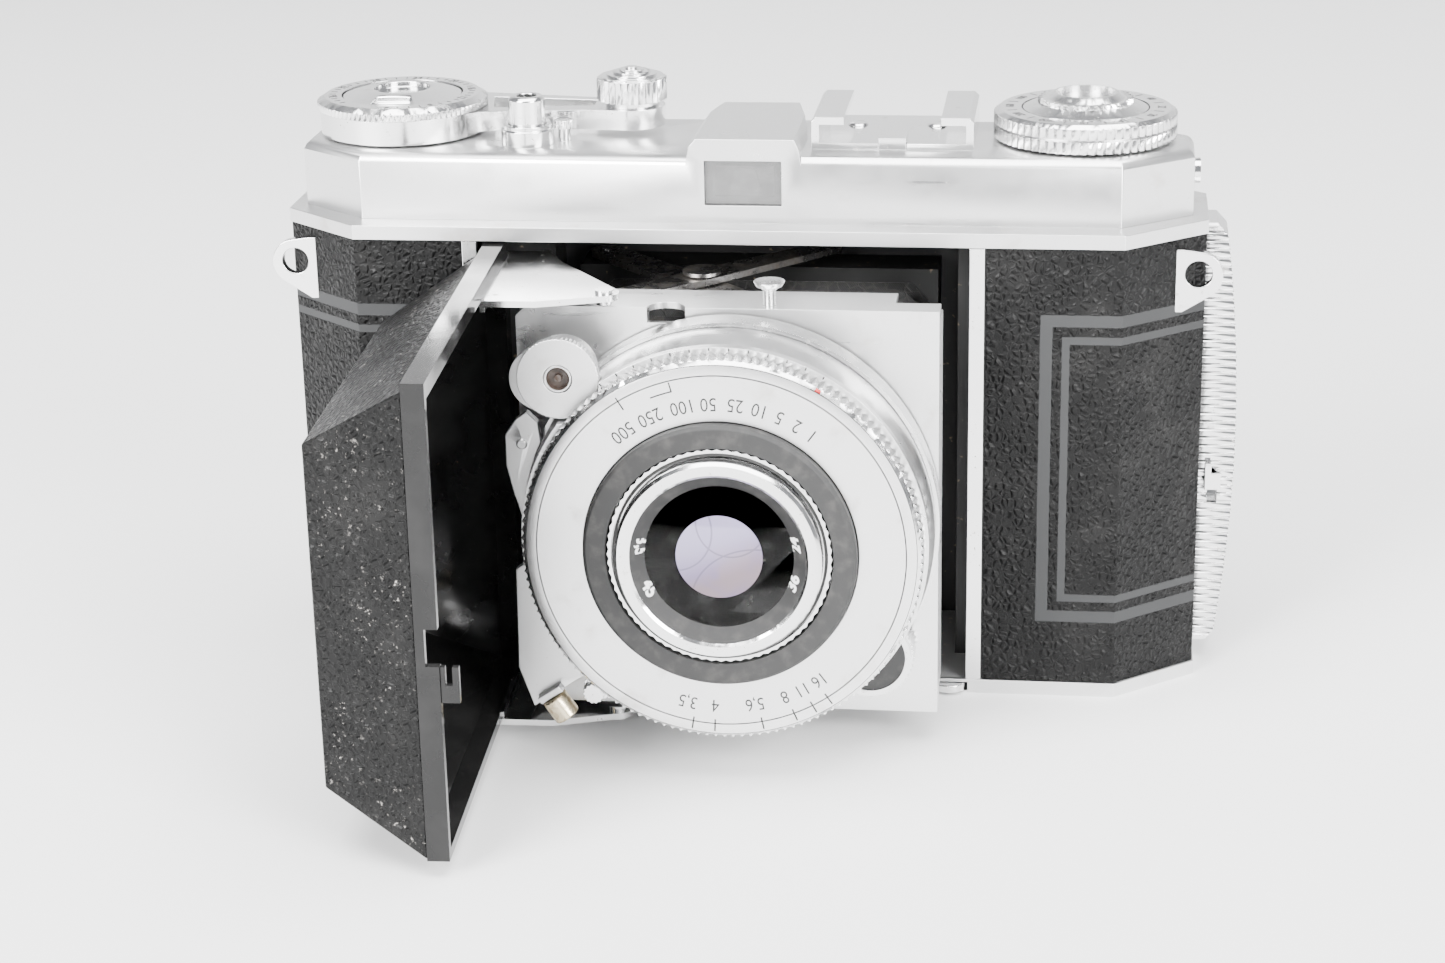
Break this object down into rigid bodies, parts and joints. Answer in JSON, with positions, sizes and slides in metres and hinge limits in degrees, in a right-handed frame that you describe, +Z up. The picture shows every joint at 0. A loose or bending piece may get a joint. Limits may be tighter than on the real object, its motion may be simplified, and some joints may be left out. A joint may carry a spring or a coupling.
{
  "type": "folding camera",
  "caption": "Compact folding viewfinder camera whose side-hinged front door draws out a bellows and lens on crossed arms, with a swinging back and lever wind.",
  "frame": {"origin": "mouth of the tripod socket, in the underside of the body", "axes": "+X along the body to the right as seen from the front, +Y away from the lens towards the back, +Z up"},
  "size_m": [0.1277, 0.0881, 0.0805],
  "materials": {
    "satin_alloy": "satin, bead-blasted",
    "chrome_trim": "bright plated",
    "covering": "grained black",
    "black_paint": "satin black",
    "cloth": "matte black pleats",
    "dark_steel": "darkened",
    "brass_part": "worn",
    "lens_glass": "coated",
    "black_plastic": "matte"
  },
  "bodies": {
    "camera_body": {"body_casting": "satin_alloy", "leather_left": "covering", "leather_right": "covering", "trim_strips": "chrome_trim", "tripod_socket": "chrome_trim", "top_housing": "satin_alloy", "finder_front_glass": "lens_glass", "finder_eyepiece": "black_paint", "shoe_rails": "chrome_trim", "shoe_spring": "chrome_trim", "strap_lugs": "chrome_trim", "steel_screws": "chrome_trim", "film_rails": "chrome_trim", "release_collar": "chrome_trim", "front_hinge_pin": "chrome_trim", "back_hinge_pin": "chrome_trim", "counter_cap": "satin_alloy", "bellows": "cloth"},
    "door_release": {"door_button": "chrome_trim"},
    "front_door": {"front_door": "black_paint", "door_leather": "covering", "door_arms": "chrome_trim", "door_catch": "black_paint"},
    "lens_standard": {"standard_box": "satin_alloy"},
    "scissor_top_a": {"scissor_top_a": "dark_steel"},
    "scissor_top_b": {"scissor_top_b": "dark_steel"},
    "scissor_bottom_a": {"scissor_bottom_a": "dark_steel"},
    "scissor_bottom_b": {"scissor_bottom_b": "dark_steel"},
    "fold_button_top": {"fold_button_top": "chrome_trim"},
    "fold_button_bottom": {"fold_button_bottom": "chrome_trim"},
    "focus_ring": {"focus_ring": "chrome_trim", "focus_inlay": "black_plastic"},
    "shutter": {"shutter_case": "satin_alloy", "face_plate": "satin_alloy", "side_plates": "chrome_trim", "timer_post": "brass_part", "lens_bezel": "black_paint", "name_ring": "chrome_trim", "front_lens": "lens_glass", "rear_lens_cell": "black_paint", "shutter_blades": "dark_steel"},
    "speed_ring": {"speed_ring": "chrome_trim"},
    "sync_disc": {"sync_disc": "chrome_trim"},
    "aperture_lever": {"aperture_lever": "chrome_trim"},
    "shutter_release": {"release_button": "chrome_trim"},
    "film_lock": {"film_lock_button": "chrome_trim"},
    "wind_lever": {"wind_lever": "chrome_trim", "lever_knob": "chrome_trim"},
    "frame_counter": {"counter_dial": "chrome_trim"},
    "rewind_bush": {"rewind_bush": "brass_part"},
    "rewind_knob": {"rewind_knob": "chrome_trim", "rewind_fork": "chrome_trim"},
    "film_reminder": {"reminder_dial": "chrome_trim"},
    "take_up_spool": {"take_up_spool": "black_plastic"},
    "sprocket": {"sprocket_shaft": "chrome_trim"},
    "back_door": {"back_door": "black_paint", "back_leather": "covering", "back_grip": "chrome_trim", "pressure_plate": "black_paint"},
    "back_latch": {"back_latch": "chrome_trim"}
  },
  "joints": [
    {"name": "door_button_press", "type": "slide", "parent": "camera_body", "child": "door_release", "axis": [0, 1, 0], "range_m": [0, 0.0012], "stiffness_N_per_m": 400},
    {"name": "front_door_swing", "type": "hinge", "parent": "camera_body", "child": "front_door", "pos_m": [-0.033, -0.0111, 0.031], "axis": [0, 0, 1], "range_deg": [0, 87.5]},
    {"name": "standard_slide", "type": "slide", "parent": "camera_body", "child": "lens_standard", "axis": [0, 1, 0], "range_m": [0, 0.0318], "deforming": ["bellows"]},
    {"name": "scissor_top_a_swing", "type": "hinge", "parent": "camera_body", "child": "scissor_top_a", "pos_m": [-0.02, 0.0067, 0.0543], "axis": [0, 0, 1], "range_deg": [0, 46.2]},
    {"name": "scissor_top_b_swing", "type": "hinge", "parent": "scissor_top_a", "child": "scissor_top_b", "pos_m": [-0.00472, -0.00912, 0.0543], "axis": [0, 0, 1], "range_deg": [-92.4, 0]},
    {"name": "fold_button_top_press", "type": "slide", "parent": "lens_standard", "child": "fold_button_top", "axis": [0, 0, -1], "range_m": [0, 0.001], "stiffness_N_per_m": 400},
    {"name": "scissor_bottom_a_swing", "type": "hinge", "parent": "camera_body", "child": "scissor_bottom_a", "pos_m": [-0.02, 0.0067, 0.0077], "axis": [0, 0, 1], "range_deg": [0, 46.2]},
    {"name": "scissor_bottom_b_swing", "type": "hinge", "parent": "scissor_bottom_a", "child": "scissor_bottom_b", "pos_m": [-0.00472, -0.00912, 0.0077], "axis": [0, 0, 1], "range_deg": [-92.4, 0]},
    {"name": "fold_button_bottom_press", "type": "slide", "parent": "lens_standard", "child": "fold_button_bottom", "axis": [0, 0, 1], "range_m": [0, 0.0008], "stiffness_N_per_m": 400},
    {"name": "focus_turn", "type": "hinge", "parent": "lens_standard", "child": "focus_ring", "pos_m": [0.0017, -0.0315, 0.031], "axis": [0, 1, 0], "range_deg": [0, 25]},
    {"name": "shutter_extend", "type": "slide", "parent": "lens_standard", "child": "shutter", "axis": [0, -1, 0], "range_m": [0, 0.0012]},
    {"name": "speed_ring_turn", "type": "hinge", "parent": "shutter", "child": "speed_ring", "pos_m": [0.0017, -0.0435, 0.031], "axis": [0, 1, 0], "range_deg": [-150, 150]},
    {"name": "sync_disc_turn", "type": "hinge", "parent": "shutter", "child": "sync_disc", "pos_m": [-0.0185, -0.04, 0.0513], "axis": [0, 1, 0], "range_deg": [0, 40]},
    {"name": "aperture_turn", "type": "hinge", "parent": "shutter", "child": "aperture_lever", "pos_m": [0.0017, -0.0395, 0.031], "axis": [0, 1, 0], "range_deg": [0, 38]},
    {"name": "release_press", "type": "slide", "parent": "camera_body", "child": "shutter_release", "axis": [0, 0, -1], "range_m": [0, 0.0018], "stiffness_N_per_m": 300},
    {"name": "film_lock_press", "type": "slide", "parent": "camera_body", "child": "film_lock", "axis": [0, 0, -1], "range_m": [0, 0.001], "stiffness_N_per_m": 200},
    {"name": "wind_lever_swing", "type": "hinge", "parent": "camera_body", "child": "wind_lever", "pos_m": [-0.0463, 0.0028, 0.074], "axis": [0, 0, 1], "range_deg": [0, 150], "stiffness_Nm_per_rad": 0.005, "springref_deg": -22.92},
    {"name": "counter_turn", "type": "hinge", "parent": "camera_body", "child": "frame_counter", "pos_m": [-0.0463, 0.0028, 0.076], "axis": [0, 0, 1], "continuous": true},
    {"name": "rewind_bush_turn", "type": "hinge", "parent": "camera_body", "child": "rewind_bush", "pos_m": [0.0444, 0.0025, 0.068], "axis": [0, 0, 1], "continuous": true},
    {"name": "rewind_pull", "type": "slide", "parent": "rewind_bush", "child": "rewind_knob", "axis": [0, 0, 1], "range_m": [0, 0.0045]},
    {"name": "reminder_turn", "type": "hinge", "parent": "rewind_knob", "child": "film_reminder", "pos_m": [0.0444, 0.0025, 0.076], "axis": [0, 0, 1], "continuous": true},
    {"name": "take_up_turn", "type": "hinge", "parent": "camera_body", "child": "take_up_spool", "pos_m": [-0.0463, 0.0011, 0.03], "axis": [0, 0, 1], "continuous": true},
    {"name": "sprocket_turn", "type": "hinge", "parent": "camera_body", "child": "sprocket", "pos_m": [-0.0316, 0.0079, 0.03], "axis": [0, 0, 1], "continuous": true},
    {"name": "back_door_swing", "type": "hinge", "parent": "camera_body", "child": "back_door", "pos_m": [-0.0586, 0.0069, 0.031], "axis": [0, 0, 1], "range_deg": [0, 115]},
    {"name": "back_latch_slide", "type": "slide", "parent": "back_door", "child": "back_latch", "axis": [0, 0, -1], "range_m": [0, 0.002], "stiffness_N_per_m": 300}
  ],
  "couplings": [
    {"joint": "standard_slide", "follows": "front_door_swing", "m_per_rad": 0.020725},
    {"joint": "scissor_top_a_swing", "follows": "front_door_swing", "ratio": 0.52571},
    {"joint": "scissor_top_b_swing", "follows": "front_door_swing", "ratio": -1.0514},
    {"joint": "scissor_bottom_a_swing", "follows": "front_door_swing", "ratio": 0.52571},
    {"joint": "scissor_bottom_b_swing", "follows": "front_door_swing", "ratio": -1.0514},
    {"joint": "focus_turn", "follows": "shutter_extend", "rad_per_m": 363.61}
  ]
}
